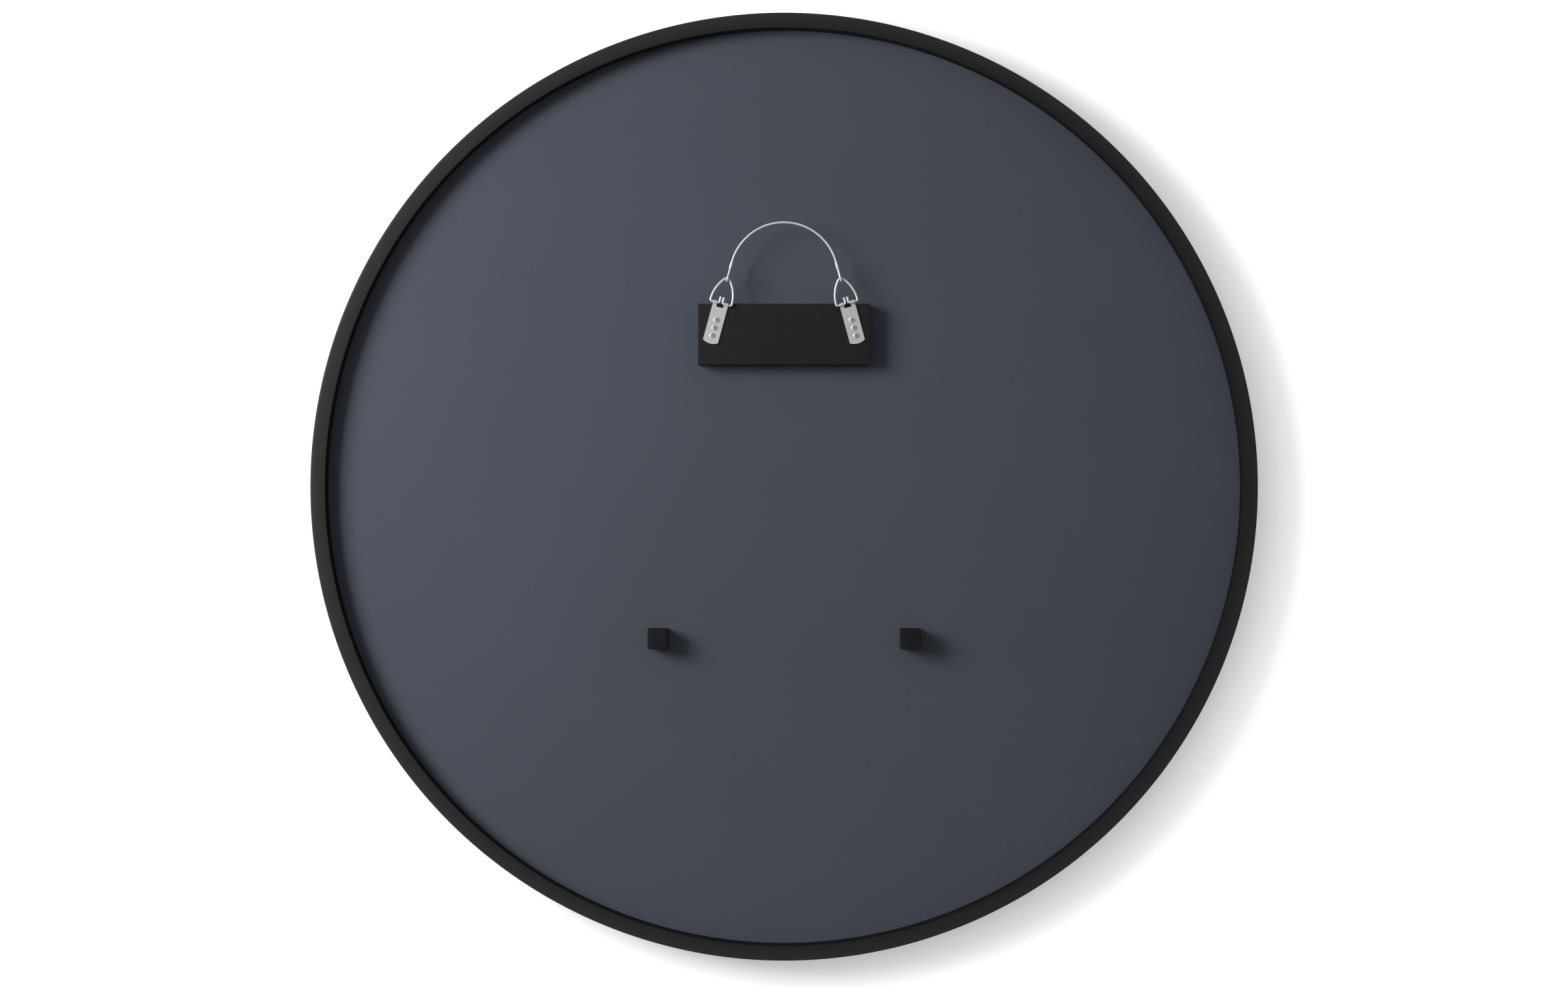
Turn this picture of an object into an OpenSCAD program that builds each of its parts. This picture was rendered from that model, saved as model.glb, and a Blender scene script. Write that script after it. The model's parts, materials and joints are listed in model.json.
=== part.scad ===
// Round wall mirror in a rubber rim, hung by a steel cable between two strap hangers.
// The mirror looks along -Y and its back faces the wall along +Y, with +Z up.
// The origin is where the wall hook meets the wall, level with the underside of the cable's arch.
// Left and right are as seen from behind, so left is +X.

/* [Rubber rim] */
// Outside diameter of the rim
rim_d = 860; // [500:10:1200]
// Width of the rim's flat back face, from the outside to the relief groove
rim_face_w = 13.8; // [11:0.2:24]
// How far the rim's back face stands above the back of the board
rim_rise = 14; // [8:0.5:16]
// Width of the relief groove beside the inner edge of the back face
groove_w = 1.3; // [0.8:0.1:3]
// Depth of the relief groove
groove_depth = 3; // [1:0.5:6]
// Thickness of the thin wall between the groove and the rim's opening
groove_wall = 0.6; // [0.4:0.1:2]
// Depth of the channel that holds the glass and the board by their edges
channel_depth = 7; // [4:0.5:9]
// How far the front lip laps over the glass
lip_over = 9; // [6:0.5:16]
// Thickness of the front lip
lip_t = 4; // [3:0.5:8]
// Radius on the outer corner of the back face
back_corner_r = 1.6; // [0.5:0.1:3]
// Radius on the outer corner of the front
front_corner_r = 3.5; // [1:0.5:6]
// Radius on the lip's edge over the glass
lip_edge_r = 1.4; // [0.5:0.1:1.4]

/* [Glass and board] */
// Thickness of the mirror glass
glass_t = 4; // [3:0.5:6]
// Thickness of the foam tape that bonds the glass to the board
tape_t = 1; // [0.5:0.1:3]
// Width of one strip of tape
tape_w = 25; // [12:1:50]
// Number of strips of tape
tape_count = 6; // [2:1:10]
// Thickness of the backing board
board_t = 9; // [6:0.5:18]
// Gap between the edge of the disc and the bottom of the rim's channel
disc_fit = 0.5; // [0.1:0.1:1.5]

/* [Hanging block] */
// Width of the block
block_w = 156; // [150:1:240]
// Height of the block
block_h = 55; // [46:1:90]
// Thickness of the block
block_t = 15; // [11:0.5:18]
// Height of the block's middle above the middle of the mirror
block_rise = 138.2; // [60:0.1:220]
// Distance between the block's screws across the block
block_screw_dx = 70; // [40:1:90]
// Distance between the block's screws up the block
block_screw_dz = 28; // [20:1:34]
// Diameter of the block's screws
block_screw_d = 3.5; // [3:0.1:5]
// How deep the block's screws reach into the block
block_screw_bite = 9; // [5:0.5:10]

/* [Strap hanger] */
// Distance from the end of the block to the middle of each knuckle axis
hanger_inset = 20.8; // [20:0.1:26]
// Height of the middle of each knuckle axis above the block's top edge
hanger_over = 0.3; // [-4:0.1:4]
// How far each hanger leans towards the middle at its top, in degrees
hanger_tilt = 15.2; // [8:0.1:25]
// Width of the strap
strap_w = 14; // [12:0.5:20]
// Thickness of the strap
strap_t = 0.9; // [0.6:0.1:1.5]
// Distance from the knuckle axis to the corners of the strap's lower end
strap_len = 35.7; // [34:0.1:40]
// Radius of the curved lower end
strap_end_r = 13.5; // [10:0.5:30]
// Width of the slot between the two tabs
slot_w = 6.4; // [5:0.1:8]
// Distance from the knuckle axis to the bottom of the slot
slot_drop = 3.8; // [2.6:0.1:6]
// Angle that each tab curls through, in degrees
curl_angle = 292; // [230:1:296]
// Distance from the knuckle axis to the first screw
screw_first = 15.6; // [10:0.1:17]
// Distance from one strap screw to the next
screw_pitch = 7.3; // [6:0.1:8]
// Number of screws in each strap
screw_count = 3; // [1:1:3]
// Diameter of the strap screws' shanks
screw_d = 2.6; // [2:0.1:3.2]
// Diameter of the strap screws' heads
screw_head_d = 4.8; // [4:0.1:6]
// Height of the strap screws' heads
screw_head_h = 1.5; // [1:0.1:2]
// Radius of the dome on the strap screws' heads
screw_dome_r = 3.2; // [2.8:0.1:6]
// Length of the strap screws under the head
screw_len = 10; // [6:0.5:11]

/* [D-ring] */
// Diameter of the ring's wire
ring_wire_d = 2; // [1.6:0.1:2.6]
// Width of the ring between the middles of its sides
ring_w = 19.9; // [18:0.1:24]
// Height of the ring from the knuckle axis to the middle of the wire at its tip
ring_h = 23.2; // [20:0.1:28]
// Radius of the ring's tip, to the middle of the wire
ring_tip_r = 3.4; // [3:0.1:6]
// Radius of the ring's lower corners, to the middle of the wire
ring_corner_r = 1.3; // [1.2:0.1:1.8]
// Distance between the middles of the two turned-in ends
ring_end_gap = 3; // [2.8:0.1:3.2]
// Radius of the bends into the turned-in ends, to the middle of the wire
ring_end_r = 1.5; // [1.4:0.1:1.6]
// Height of the turned-in ends above the knuckle axis
ring_end_h = 5.8; // [3:0.1:9]

/* [Hanging cable] */
// Diameter of the cable
cable_d = 1.9; // [1.5:0.1:2.2]
// Distance from the middle of the ring's wire to the ferrule
eye_len = 9.1; // [8.5:0.1:14]
// Radius where each strand of the eye leaves the ferrule, to the middle of the strand
eye_flare_r = 4; // [3:0.5:6]
// Outside width of the ferrule as seen from behind
ferrule_w = 2.8; // [2.8:0.1:3.6]
// Length of the ferrule
ferrule_len = 6; // [4:0.5:10]

/* [Bumpers] */
// Width and height of each square bumper
bumper_w = 18; // [12:1:30]
// Thickness of the bumper's rubber
bumper_t = 19.2; // [18:0.1:28]
// Thickness of the adhesive pad under each bumper
pad_t = 0.8; // [0.5:0.1:1.5]
// Radius of the bumper's upright edges
bumper_edge_r = 1.5; // [0.5:0.1:3]
// Distance between the middles of the two bumpers
bumper_dx = 229; // [80:1:400]
// Distance of the bumpers below the middle of the mirror
bumper_drop = 138; // [60:1:240]

/* [Clearances] */
// Running clearance round the ring's wire in the knuckle
knuckle_fit = 0.05; // [0.02:0.01:0.1]
// Clearance between the cable's eye and the ring's wire
eye_fit = 0.6; // [0.3:0.05:0.8]
// Clearance round each strand in the ferrule
ferrule_fit = 0.1; // [0.06:0.01:0.15]
// Clearance between the two strands in the ferrule
strand_fit = 0.1; // [0.05:0.05:0.2]
// Clearance round a screw's shank in its pilot hole
pilot_fit = 0.05; // [0.02:0.01:0.1]
// Clearance round a screw's shank in the piece that its head holds
shank_fit = 0.25; // [0.1:0.05:0.4]
// Depth of the block screws' heads below the face of the board
head_sink = 0.2; // [0.1:0.1:0.5]

/* [Hidden] */
$fn = 48;
LEFT = -1;
RIGHT = 1;
// Overrun of a cutting solid past the face that it cuts
past = 1;
// Largest angle and length of one straight facet along a bent rod
facet_turn = 18;
facet_run = 4;
// Sides of each swept or turned form
ring_sides = 16;
cable_sides = 12;
bumper_sides = 24;
rim_sides = 180;

// Levels along the depth, with the wall at 0 and the front of the mirror below it
board_back = -bumper_t - pad_t;
board_front = board_back - board_t;
glass_back = board_front - tape_t;
glass_front = glass_back - glass_t;
rim_back = board_back + rim_rise;
rim_front = glass_front - lip_t;
block_back = board_back + block_t;

// Radii of the rim and of the disc of glass and board in it
rim_r = rim_d / 2;
groove_r = rim_r - rim_face_w;
opening_r = groove_r - groove_w - groove_wall;
channel_r = opening_r + channel_depth;
disc_r = channel_r - disc_fit;
lip_r = disc_r - lip_over;
arc_steps = 5;

// The tape stays this far inside the edge of the disc
tape_margin = 20;

// Hangers stand in from the ends of the block
hanger_dx = block_w - 2 * hanger_inset;

// Knuckle of the strap round the ring's wire
knuckle_bore_r = ring_wire_d / 2 + knuckle_fit;
knuckle_r = knuckle_bore_r + strap_t;
knuckle_level = block_back + knuckle_r;
tab_w = (strap_w - slot_w) / 2;
strap_end_sag = strap_end_r - sqrt(pow(strap_end_r, 2) - pow(strap_w / 2, 2));

// The ring's sides are arcs that run into the tip's arc and the corners' arcs
side_half = ring_w / 2;
side_rise = ring_h - ring_tip_r - ring_corner_r;
ring_side_r = (pow(side_half, 2) + pow(side_rise, 2) - pow(ring_tip_r, 2)) / (2 * (side_half - ring_tip_r));
side_turn = atan(side_rise / (ring_side_r - side_half));
pin_step = 0.01;
ring_base_run = side_half - ring_corner_r - ring_end_gap / 2 - ring_end_r;

// The cable's two strands lie side by side in the ferrule and part round the ring
strand_off = (cable_d + strand_fit) / 2;
eye_r = ring_wire_d / 2 + eye_fit + cable_d / 2;
eye_reach = [strand_off + eye_flare_r, eye_len];
eye_turn = asin((eye_flare_r + eye_r) / norm(eye_reach)) - atan(eye_reach[0] / eye_reach[1]);
eye_run = sqrt(pow(norm(eye_reach), 2) - pow(eye_flare_r + eye_r, 2));
ferrule_bore_r = cable_d / 2 + ferrule_fit;

// The cable's arch carries on from the two ferrules
ferrule_low = ring_h + eye_len;
ferrule_top = ferrule_low + ferrule_len;
arch_r = (hanger_dx / 2 - ferrule_top * sin(hanger_tilt)) / cos(hanger_tilt);
arch_above_knuckle = ferrule_top * cos(hanger_tilt) - arch_r * sin(hanger_tilt);

// Heights along Z, with the underside of the cable's arch at 0
arch_mid = cable_d / 2 - arch_r;
knuckle_height = arch_mid - arch_above_knuckle;
block_height = knuckle_height - hanger_over - block_h / 2;
mirror_mid = block_height - block_rise;

// Countersunk screws that hold the block to the board
block_head_d = 2 * block_screw_d;
block_head_h = (block_head_d - block_screw_d) / 2;

// Length and end diameter of every screw's point
screw_tip = 2;
screw_tip_d = 0.8;

// Draws in a frame seen from behind: x to the right, y up and z towards the wall
module from_behind() rotate([90, 0, 180]) children();

// Puts the origin of that frame at the middle of the mirror
module on_mirror() from_behind() translate([0, mirror_mid, 0]) children();

// Puts it at the middle of a hanger's knuckle axis, with y up the leaning strap
module on_hanger(side)
    from_behind()
        translate([side * hanger_dx / 2, knuckle_height, knuckle_level])
            rotate([0, 0, side * hanger_tilt])
                children();

module on_bumper(side) on_mirror() translate([side * bumper_dx / 2, -bumper_drop, 0]) children();

// Places one child at each screw of a strap
module at_strap_screws()
    for (i = [0 : screw_count - 1])
        translate([0, -screw_first - i * screw_pitch, strap_t - knuckle_r])
            children();

// Places one child at each screw of the block
module at_block_screws()
    from_behind()
        translate([0, block_height, board_front])
            for (x = [-1, 1], y = [-1, 1])
                translate([x * block_screw_dx / 2, y * block_screw_dz / 2, 0])
                    children();

// Points of a quarter circle about [x, y], counterclockwise from angle a
function corner(x, y, r, a) = [for (i = [0 : arc_steps])
    [x + r * cos(a + 90 * i / arc_steps), y + r * sin(a + 90 * i / arc_steps)]];

function shift(x, y, z) = [[1, 0, 0, x], [0, 1, 0, y], [0, 0, 1, z], [0, 0, 0, 1]];
function yaw(a) = [[cos(a), -sin(a), 0, 0], [sin(a), cos(a), 0, 0], [0, 0, 1, 0], [0, 0, 0, 1]];
function pitch(a) = [[cos(a), 0, -sin(a), 0], [0, 1, 0, 0], [sin(a), 0, cos(a), 0], [0, 0, 0, 1]];

// A step along a rod is [run, turn, lift]: a straight of that length, or a bend of that radius
// which turns left or lifts by that many degrees. This is the move over one share of a step.
function advance(step, share) =
    let (run = step[0], turn = step[1] * share, lift = step[2] * share)
    turn != 0 ? shift(run * sin(abs(turn)), sign(turn) * run * (1 - cos(turn)), 0) * yaw(turn)
    : lift != 0 ? shift(run * sin(abs(lift)), 0, sign(lift) * run * (1 - cos(lift))) * pitch(lift)
    : shift(run * share, 0, 0);

// How many straight facets stand for one step
function facets(step) =
    let (angle = abs(step[1]) + abs(step[2]))
    max(1, ceil(angle / facet_turn), ceil(step[0] * angle * PI / 180 / facet_run));

// Frames along a rod from frame m on, each with its x axis along the rod
function walk(steps, m, i = 0) =
    i == len(steps) ? []
    : let (n = facets(steps[i]), move = advance(steps[i], 1 / n))
        concat([for (k = 1, f = m * move; k <= n; k = k + 1, f = f * move) f],
            walk(steps, m * advance(steps[i], 1), i + 1));

// A round rod bent along its steps, which sets out from the origin along +x
module bent_rod(d, sides, steps) {
    frames = concat([shift(0, 0, 0)], walk(steps, shift(0, 0, 0)));
    ends = (len(frames) - 1) * sides;
    polyhedron(
        points = [for (f = frames, k = [0 : sides - 1])
            let (a = 360 * k / sides, p = f * [0, d / 2 * cos(a), d / 2 * sin(a), 1])
            [p[0], p[1], p[2]]],
        faces = concat(
            [[for (k = [0 : sides - 1]) k], [for (k = [sides - 1 : -1 : 0]) ends + k]],
            [for (i = [0 : len(frames) - 2], k = [0 : sides - 1], half = [0, 1])
                let (a = i * sides + k, b = i * sides + (k + 1) % sides)
                half == 0 ? [a, a + sides, b + sides] : [a, b + sides, b]]
        )
    );
}

// One moulded ring: a flat back with a relief groove, a channel for the disc and a front lip
module rubber_rim()
    color("#232323")
        on_mirror()
            rotate_extrude($fn = rim_sides)
                polygon(concat(
                    corner(rim_r - front_corner_r, rim_front + front_corner_r, front_corner_r, -90),
                    corner(rim_r - back_corner_r, rim_back - back_corner_r, back_corner_r, 0),
                    [[groove_r, rim_back], [groove_r, rim_back - groove_depth],
                        [groove_r - groove_w, rim_back - groove_depth], [groove_r - groove_w, rim_back],
                        [opening_r, rim_back], [opening_r, board_back],
                        [channel_r, board_back], [channel_r, glass_front]],
                    corner(lip_r + lip_edge_r, glass_front - lip_edge_r, lip_edge_r, 90),
                    corner(lip_r + lip_edge_r, rim_front + lip_edge_r, lip_edge_r, 180)
                ));

module disc(low, high)
    on_mirror() translate([0, 0, low]) cylinder(r = disc_r, h = high - low, $fn = rim_sides);

module mirror_glass() color("#c9d3d6") disc(glass_front, glass_back);

// Upright strips, each as long as the disc is tall where it lies
module bonding_tape()
    color("#e8e8e4")
        on_mirror()
            for (i = [0 : tape_count - 1]) {
                reach = disc_r - tape_margin;
                x = (2 * i + 1 - tape_count) * reach / tape_count;
                half = sqrt(pow(reach, 2) - pow(abs(x) + tape_w / 2, 2));
                translate([x - tape_w / 2, -half, glass_back]) cube([tape_w, 2 * half, tape_t]);
            }

// Countersunk screw along +z with its head's face at z = 0
module countersunk(d, head_d, head_h, length) {
    cylinder(d1 = head_d, d2 = d, h = head_h);
    translate([0, 0, head_h]) cylinder(d = d, h = length - head_h - screw_tip);
    translate([0, 0, length - screw_tip]) cylinder(d1 = d, d2 = screw_tip_d, h = screw_tip);
}

module backing_board()
    color("#4a4f57")
        difference() {
            disc(board_front, board_back);
            at_block_screws() {
                translate([0, 0, head_sink])
                    cylinder(d1 = block_head_d + 2 * shank_fit, d2 = block_screw_d + 2 * shank_fit,
                        h = block_head_h);
                translate([0, 0, -past])
                    cylinder(d = block_head_d + 2 * shank_fit, h = past + head_sink);
                cylinder(d = block_screw_d + 2 * shank_fit, h = board_t + past);
            }
        }

module hanging_block()
    color("#262626")
        difference() {
            from_behind()
                translate([-block_w / 2, block_height - block_h / 2, board_back])
                    cube([block_w, block_h, block_t]);
            at_block_screws()
                translate([0, 0, board_t - past])
                    cylinder(r = block_screw_d / 2 + pilot_fit, h = past + head_sink + block_screw_bite);
            for (side = [LEFT, RIGHT])
                on_hanger(side) at_strap_screws()
                    translate([0, 0, -screw_len - past])
                        cylinder(r = screw_d / 2 + pilot_fit, h = screw_len + past);
        }

module block_screws()
    color("#9a9a96")
        at_block_screws()
            translate([0, 0, head_sink])
                countersunk(block_screw_d, block_head_d, block_head_h, board_t + block_screw_bite);

// A flat strap whose slotted end curls round the ring's wire as two tabs
module strap(side)
    color("#c4c4c2")
        on_hanger(side)
            difference() {
                union() {
                    intersection() {
                        translate([-strap_w / 2, -strap_len - strap_end_sag, -knuckle_r])
                            cube([strap_w, strap_len + strap_end_sag - slot_drop, strap_t]);
                        translate([0, strap_end_r - strap_len - strap_end_sag, -knuckle_r])
                            union() {
                                cylinder(r = strap_end_r, h = strap_t);
                                translate([-strap_w / 2, 0, 0]) cube([strap_w, strap_len, strap_t]);
                            }
                    }
                    for (way = [-1, 1])
                        translate([way * (strap_w - tab_w) / 2, 0, 0]) {
                            translate([-tab_w / 2, -slot_drop - past, -knuckle_r])
                                cube([tab_w, slot_drop + past, strap_t]);
                            rotate([0, 90, 0])
                                rotate_extrude(angle = curl_angle)
                                    translate([knuckle_bore_r, -tab_w / 2]) square([strap_t, tab_w]);
                        }
                }
                at_strap_screws()
                    translate([0, 0, -strap_t - past])
                        cylinder(r = screw_d / 2 + shank_fit, h = strap_t + 2 * past);
            }

module strap_left() strap(LEFT);
module strap_right() strap(RIGHT);

// Pan head screw along -z with its head's underside at z = 0
module pan_screw() {
    intersection() {
        cylinder(d = screw_head_d, h = screw_head_h);
        translate([0, 0, screw_head_h - screw_dome_r]) sphere(r = screw_dome_r);
    }
    translate([0, 0, screw_tip - screw_len]) cylinder(d = screw_d, h = screw_len - screw_tip);
    translate([0, 0, -screw_len]) cylinder(d1 = screw_tip_d, d2 = screw_d, h = screw_tip);
}

module strap_screws(side) color("#d8d8d6") on_hanger(side) at_strap_screws() pan_screw();
module strap_screws_left() strap_screws(LEFT);
module strap_screws_right() strap_screws(RIGHT);

// A pointed ring of one bent wire, whose two ends turn up side by side inside it.
// The stretches that turn in the knuckles are true cylinders, a hair wider than the bent wire.
module ring(side)
    color("#d0d0d0")
        on_hanger(side) {
            translate([-ring_end_gap / 2, ring_end_h, 0])
                rotate([0, 0, -90])
                    bent_rod(ring_wire_d - 2 * pin_step, ring_sides, [
                        [ring_end_h - ring_end_r, 0, 0],
                        [ring_end_r, -90, 0],
                        [ring_base_run, 0, 0],
                        [ring_corner_r, -90, 0],
                        [ring_side_r, -side_turn, 0],
                        [ring_tip_r, 2 * side_turn - 180, 0],
                        [ring_side_r, -side_turn, 0],
                        [ring_corner_r, -90, 0],
                        [ring_base_run, 0, 0],
                        [ring_end_r, -90, 0],
                        [ring_end_h - ring_end_r, 0, 0]
                    ]);
            for (way = [-1, 1])
                translate([way * (side_half - ring_corner_r - ring_base_run / 2), 0, 0])
                    rotate([0, 90, 0]) cylinder(d = ring_wire_d, h = ring_base_run, center = true);
        }

module ring_left() ring(LEFT);
module ring_right() ring(RIGHT);

// Steps of one end of the cable: down through the ferrule, round the ring's wire and up again
cable_end = [
    [ferrule_len, 0, 0],
    [eye_flare_r, 0, -eye_turn],
    [eye_run, 0, 0],
    [eye_r, 0, 180 + 2 * eye_turn],
    [eye_run, 0, 0],
    [eye_flare_r, 0, -eye_turn],
    [ferrule_len, 0, 0]
];

// One cable from the tail in the left ferrule, over the arch, to the tail in the right one
module hanging_cable()
    color("#d6d6d6")
        on_hanger(LEFT)
            translate([0, ferrule_top, -strand_off])
                rotate([0, 0, -90])
                    bent_rod(cable_d, cable_sides,
                        concat(cable_end, [[arch_r, 180 - 2 * hanger_tilt, 0]], cable_end));

// Oval sleeve crimped over the cable and its tail
module ferrule(side)
    color("#dcdcdc")
        on_hanger(side)
            translate([0, ferrule_low, 0])
                difference() {
                    union() {
                        translate([-ferrule_w / 2, 0, -strand_off])
                            cube([ferrule_w, ferrule_len, 2 * strand_off]);
                        for (way = [-1, 1])
                            translate([0, 0, way * strand_off])
                                rotate([-90, 0, 0]) cylinder(d = ferrule_w, h = ferrule_len);
                    }
                    for (way = [-1, 1])
                        translate([0, -past, way * strand_off])
                            rotate([-90, 0, 0]) cylinder(r = ferrule_bore_r, h = ferrule_len + 2 * past);
                }

module ferrule_left() ferrule(LEFT);
module ferrule_right() ferrule(RIGHT);

module bumper_pad(side)
    color("#3a3a3a")
        on_bumper(side)
            translate([-bumper_w / 2, -bumper_w / 2, board_back])
                cube([bumper_w, bumper_w, pad_t]);

module bumper_pad_left() bumper_pad(LEFT);
module bumper_pad_right() bumper_pad(RIGHT);

// Square rubber foot with rounded upright edges and a softened outer face
module bumper(side) {
    inset = bumper_w / 2 - bumper_edge_r;
    color("#1b1b1b")
        on_bumper(side)
            hull()
                for (x = [-inset, inset], y = [-inset, inset])
                    translate([x, y, board_back + pad_t]) {
                        cylinder(r = bumper_edge_r, h = bumper_t - bumper_edge_r / 2, $fn = bumper_sides);
                        cylinder(r = bumper_edge_r / 2, h = bumper_t, $fn = bumper_sides);
                    }
}

module bumper_left() bumper(LEFT);
module bumper_right() bumper(RIGHT);

rubber_rim();
mirror_glass();
bonding_tape();
backing_board();
hanging_block();
block_screws();
strap_left();
strap_right();
strap_screws_left();
strap_screws_right();
ring_left();
ring_right();
hanging_cable();
ferrule_left();
ferrule_right();
bumper_pad_left();
bumper_pad_right();
bumper_left();
bumper_right();
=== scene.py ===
# Looks of the round wall mirror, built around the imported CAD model.
# Shapes are worked out in millimetres in the CAD's frame and written to the meshes in metres.
import json
import math

import bpy
import numpy as np
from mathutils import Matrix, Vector


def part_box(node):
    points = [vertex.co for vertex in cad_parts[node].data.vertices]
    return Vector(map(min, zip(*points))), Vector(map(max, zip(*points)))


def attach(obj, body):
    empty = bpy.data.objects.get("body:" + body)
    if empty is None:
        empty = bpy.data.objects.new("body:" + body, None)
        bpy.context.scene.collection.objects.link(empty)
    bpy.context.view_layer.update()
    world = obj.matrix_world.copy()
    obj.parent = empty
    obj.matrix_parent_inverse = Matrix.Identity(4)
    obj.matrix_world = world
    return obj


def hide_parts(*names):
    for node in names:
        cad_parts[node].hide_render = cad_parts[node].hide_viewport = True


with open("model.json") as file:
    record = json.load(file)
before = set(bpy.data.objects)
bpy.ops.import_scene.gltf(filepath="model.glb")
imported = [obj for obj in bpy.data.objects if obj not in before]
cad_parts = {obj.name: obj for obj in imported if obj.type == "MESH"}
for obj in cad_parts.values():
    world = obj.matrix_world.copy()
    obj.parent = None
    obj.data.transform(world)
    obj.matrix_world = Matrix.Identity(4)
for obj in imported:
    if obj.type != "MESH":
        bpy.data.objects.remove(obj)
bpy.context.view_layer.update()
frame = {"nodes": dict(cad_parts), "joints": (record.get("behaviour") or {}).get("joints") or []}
nodes = frame["nodes"]
scene = bpy.context.scene
print("frame loaded with", len(nodes), "nodes")


def nodeBox(name):
    # lowest and highest corner of a CAD node, in millimetres
    low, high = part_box(name)
    return np.array(low) * 1000, np.array(high) * 1000


rimLow, rimHigh = nodeBox("rubber_rim")
boardBack = nodeBox("backing_board")[1][1]
glassFront = nodeBox("mirror_glass")[0][1]
centreX, centreZ = (rimLow + rimHigh)[[0, 2]] / 2
rimRadius = (rimHigh[0] - rimLow[0]) / 2
joints = {joint["name"]: joint for joint in frame["joints"]}


def hangerFrame(side):
    # 4x4 frame of a hanger: x along the knuckle axis, y up the leaning strap, z towards the wall
    joint = joints["ring_%s_fold" % side]
    across, toWall = np.array(joint["axis"], float), np.array([0.0, 1.0, 0.0])
    place = np.eye(4)
    place[:3, 0], place[:3, 1], place[:3, 2] = across, np.cross(toWall, across), toWall
    place[:3, 3] = np.array(joint["pos_m"]) * 1000
    return place


hangers = {side: hangerFrame(side) for side in ("left", "right")}


camera = dict(distance=2000.0, drop=6.19, pixel=0.5904, width=2408, sensor=36)
lensData = bpy.data.cameras.new("camera")
lensData.sensor_width = camera["sensor"]
# a pixel at the rim's back face is camera["pixel"] wide at camera["distance"] in front of it
lensData.lens = camera["sensor"] * camera["distance"] / (camera["pixel"] * camera["width"])
cameraObject = bpy.data.objects.new("camera", lensData)
cameraObject.location = (0, (rimHigh[1] + camera["distance"]) / 1000, (centreZ - camera["drop"]) / 1000)
cameraObject.rotation_euler = (math.radians(90), 0, math.radians(180))
scene.collection.objects.link(cameraObject)
scene.camera = cameraObject
print("camera set")


def gridOf(points, u, v, closed=False):
    # quads between the neighbours of a rows x columns grid; a closed grid joins its last column to its first.
    # u runs over the columns and v over the rows, and both go into the UV map.
    rows, cols = points.shape[:2]
    i, j = np.indices((rows - 1, cols - (not closed))).reshape(2, -1)
    nextJ = (j + 1) % cols
    quads = np.stack([i * cols + j, i * cols + nextJ, (i + 1) * cols + nextJ, (i + 1) * cols + j], 1)
    corners = ((0, 0), (1, 0), (1, 1), (0, 1))
    spots = np.stack([np.stack([u[j + right], v[i + up]], 1) for right, up in corners], 1)
    return points.reshape(-1, 3), quads, spots


def outward(grid):
    # turns a closed grid's faces round if its volume, summed over tetrahedra from its middle, is negative
    points, quads, spots = grid
    a, b, c, d = (points[quads[:, k]] - points.mean(0) for k in range(4))
    volume = (np.cross(a, b) * c).sum() + (np.cross(a, c) * d).sum()
    return grid if volume > 0 else (points, quads[:, ::-1], spots[:, ::-1])


def joined(grids):
    # several grids as one, their points numbered on
    starts = np.cumsum([0] + [len(g[0]) for g in grids[:-1]])
    return (np.concatenate([g[0] for g in grids]),
            np.concatenate([g[1] + s for g, s in zip(grids, starts)]),
            np.concatenate([g[2] for g in grids]))


mergeDigits = 5  # points that agree to this many decimals of a millimetre are one


def addPiece(name, grid, material, body, replaced, sharp=38, recessShadeMask=None):
    # points that coincide are merged, so seams and poles close and quads at a pole become triangles.
    # an optional value for each point marks where the material paints shade into a recess, and is kept as an
    # attribute that it reads.
    points, quads, spots = grid
    unique, first, index = np.unique(np.round(points, mergeDigits), axis=0, return_index=True,
                                     return_inverse=True)
    quads = index.reshape(-1)[quads]
    keep = quads != np.roll(quads, -1, axis=1)
    whole = keep.sum(1) >= 3
    quads, keep, spots = quads[whole], keep[whole], spots[whole]
    counts = keep.sum(1)
    mesh = bpy.data.meshes.new(name)
    mesh.vertices.add(len(unique))
    mesh.vertices.foreach_set("co", (unique / 1000).ravel())
    mesh.loops.add(int(counts.sum()))
    mesh.loops.foreach_set("vertex_index", quads[keep])
    mesh.polygons.add(len(counts))
    mesh.polygons.foreach_set("loop_start", np.concatenate([[0], np.cumsum(counts)[:-1]]))
    mesh.update(calc_edges=True)
    if recessShadeMask is not None:
        mesh.attributes.new("recessShadeMask", "FLOAT", "POINT").data.foreach_set("value", recessShadeMask[first])
    uvMap = mesh.uv_layers.new(name="surface")
    uvMap.data.foreach_set("uv", (spots[keep] / 1000).ravel())
    mesh.validate()
    mesh.polygons.foreach_set("use_smooth", np.ones(len(mesh.polygons), bool))
    mesh.set_sharp_from_angle(angle=math.radians(sharp))
    mesh.materials.append(material)
    piece = bpy.data.objects.new(name, mesh)
    scene.collection.objects.link(piece)
    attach(piece, body)
    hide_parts(*replaced)
    return piece


def placed(place, local):
    # points of a local frame moved to where that frame stands
    return (local.reshape(-1, 3) @ place[:3, :3].T + place[:3, 3]).reshape(local.shape)


def arc(x, y, radius, start, end, steps=6):
    # points on a circle about (x, y) from one angle to another, in degrees
    a = np.radians(np.linspace(start, end, steps + 1))
    return np.stack([x + radius * np.cos(a), y + radius * np.sin(a)], 1)


def lengthAlong(points):
    # distance along a line of points, from its first
    return np.concatenate([[0], np.cumsum(np.linalg.norm(np.diff(points, axis=0), axis=1))])


def smoothStep(x, low, high):
    # 0 at low, 1 at high and a smooth cubic between them
    t = np.clip((x - low) / (high - low), 0, 1)
    return t * t * (3 - 2 * t)


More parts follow.
